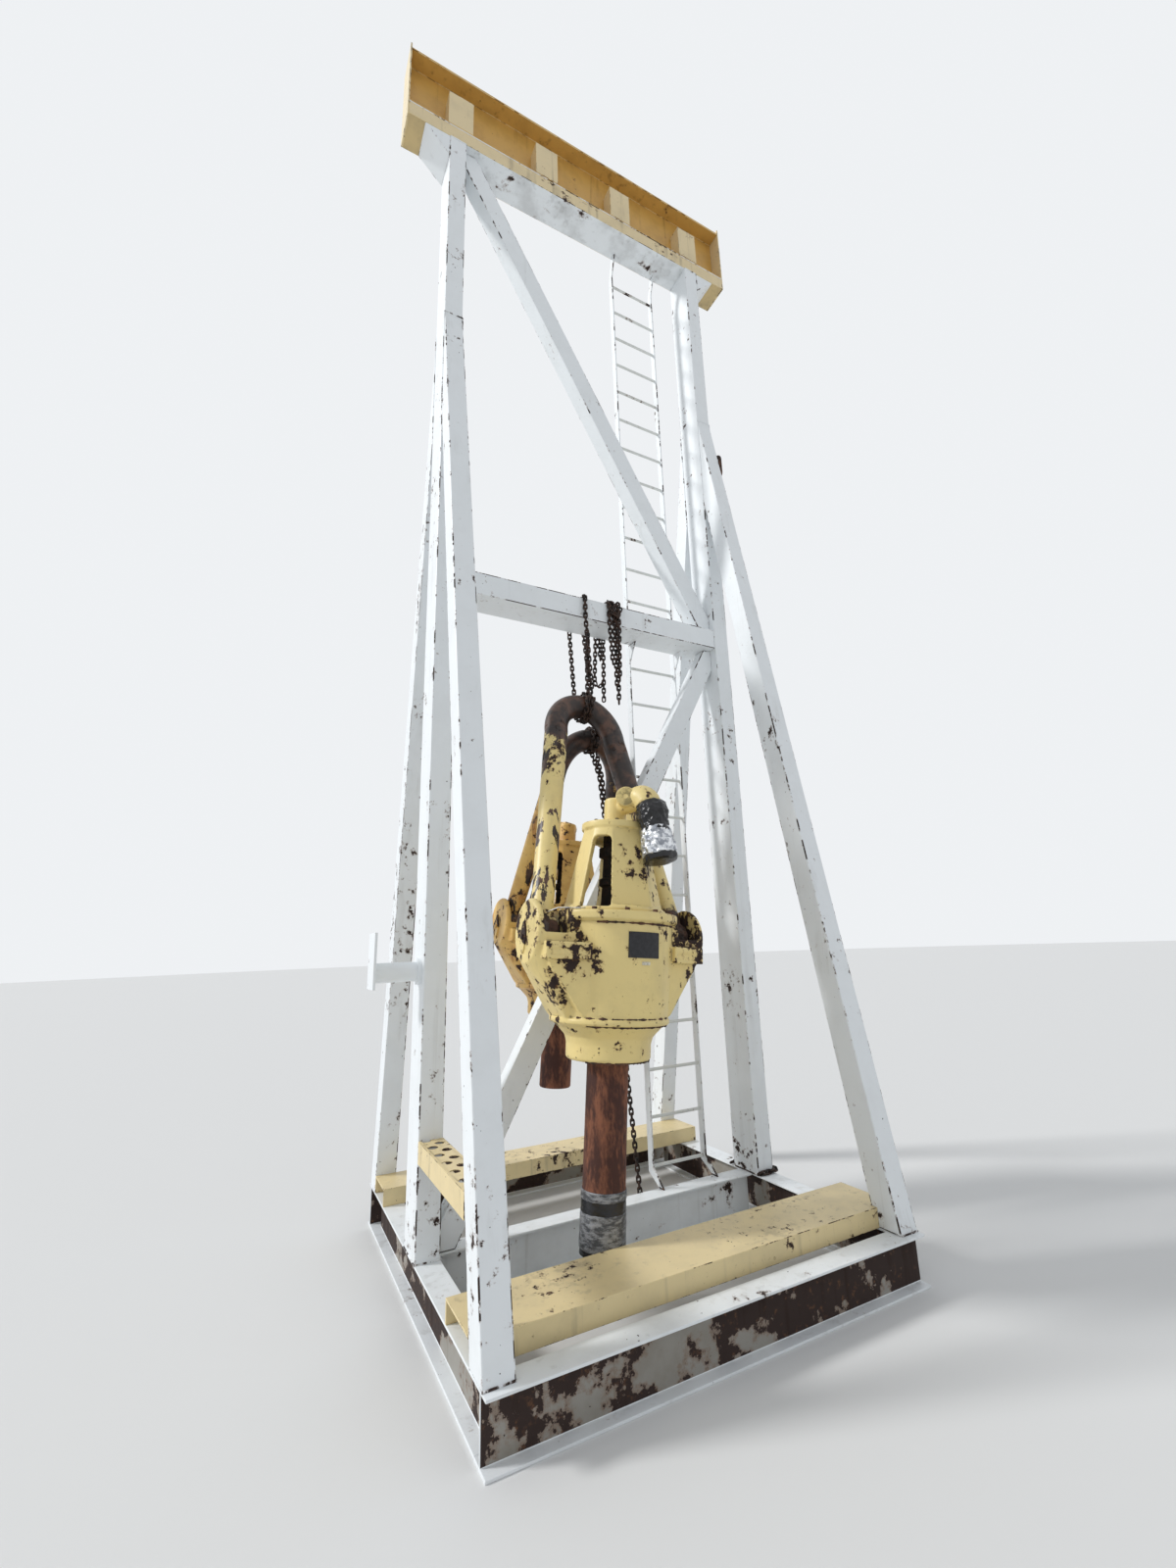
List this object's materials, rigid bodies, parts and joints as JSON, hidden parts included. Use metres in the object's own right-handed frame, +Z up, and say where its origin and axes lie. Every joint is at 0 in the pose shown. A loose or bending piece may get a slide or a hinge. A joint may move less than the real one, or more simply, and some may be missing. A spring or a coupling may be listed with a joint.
{
  "type": "rotary swivel storage stand",
  "caption": "White steel storage stand with splayed legs, a high head beam and ladder, and two yellow rotary swivels hung on chains.",
  "frame": {"origin": "on the ground, at the middle of the base's box", "axes": "+X along the head beam to the right as seen from the front, +Y to the rear, +Z up"},
  "size_m": [3.136, 2.61, 9.05],
  "materials": {
    "white_paint": "weathered white paint with chips and rust",
    "cream_paint": "weathered cream paint with rusted edges",
    "girder_paint": "dull yellow ochre paint",
    "swivel_paint": "pale yellow paint, chipped to dark rust",
    "rusty_steel": "dark rusted steel",
    "rusty_yellow": "worn yellow paint over rust",
    "red_rust": "red-brown rust",
    "chain_steel": "dark rusted chain",
    "wrap": "black plastic wrap and silver tape"
  },
  "bodies": {
    "stand": {"base_front_beam": "white_paint", "base_rear_beam": "white_paint", "base_centre_beam": "white_paint", "base_left_beam": "white_paint", "base_right_beam": "white_paint", "left_post": "white_paint", "right_post": "white_paint", "left_front_leg": "white_paint", "right_front_leg": "white_paint", "left_rear_leg": "white_paint", "right_rear_leg": "white_paint", "head_tube": "cream_paint", "head_girder": "girder_paint", "head_stiffeners": "cream_paint", "left_end_plate": "cream_paint", "right_end_plate": "cream_paint", "haunches": "white_paint", "middle_beam": "white_paint", "upper_brace": "white_paint", "lower_brace": "white_paint", "left_stringer": "white_paint", "right_stringer": "white_paint", "ladder_rungs": "white_paint", "ladder_bracket": "white_paint", "front_channel": "cream_paint", "rear_channel": "cream_paint", "perforated_step": "cream_paint", "stub_arm": "white_paint", "leg_shackle": "rusty_steel", "front_bail": "swivel_paint", "rear_bail": "rusty_yellow", "front_sling_chain": "chain_steel", "rear_sling_chain": "chain_steel", "spare_chain": "chain_steel", "foot_chain": "chain_steel"},
    "front_swivel": {"front_body": "swivel_paint", "front_pins": "rusty_steel", "front_bonnet": "swivel_paint", "front_gooseneck": "swivel_paint", "front_outlet_wrap": "wrap"},
    "front_stem": {"front_stem_pipe": "red_rust"},
    "rear_swivel": {"rear_body": "swivel_paint", "rear_pins": "rusty_steel", "rear_bonnet": "swivel_paint", "rear_gooseneck": "swivel_paint", "rear_outlet_wrap": "wrap"},
    "rear_stem": {"rear_stem_pipe": "red_rust"}
  },
  "joints": [
    {"name": "front_rock", "type": "hinge", "parent": "stand", "child": "front_swivel", "pos_m": [-0.264, -0.62, 1.876], "axis": [0.9971, 0, -0.0767], "range_deg": [0, 6]},
    {"name": "front_spin", "type": "hinge", "parent": "front_swivel", "child": "front_stem", "pos_m": [-0.264, -0.62, 1.876], "axis": [0.0767, 0, 0.9971], "continuous": true},
    {"name": "rear_rock", "type": "hinge", "parent": "stand", "child": "rear_swivel", "pos_m": [-0.038, 0.55, 1.974], "axis": [0.9971, 0, -0.0767], "range_deg": [-5, 5]},
    {"name": "rear_spin", "type": "hinge", "parent": "rear_swivel", "child": "rear_stem", "pos_m": [-0.038, 0.55, 1.974], "axis": [0.0767, 0, 0.9971], "continuous": true}
  ]
}
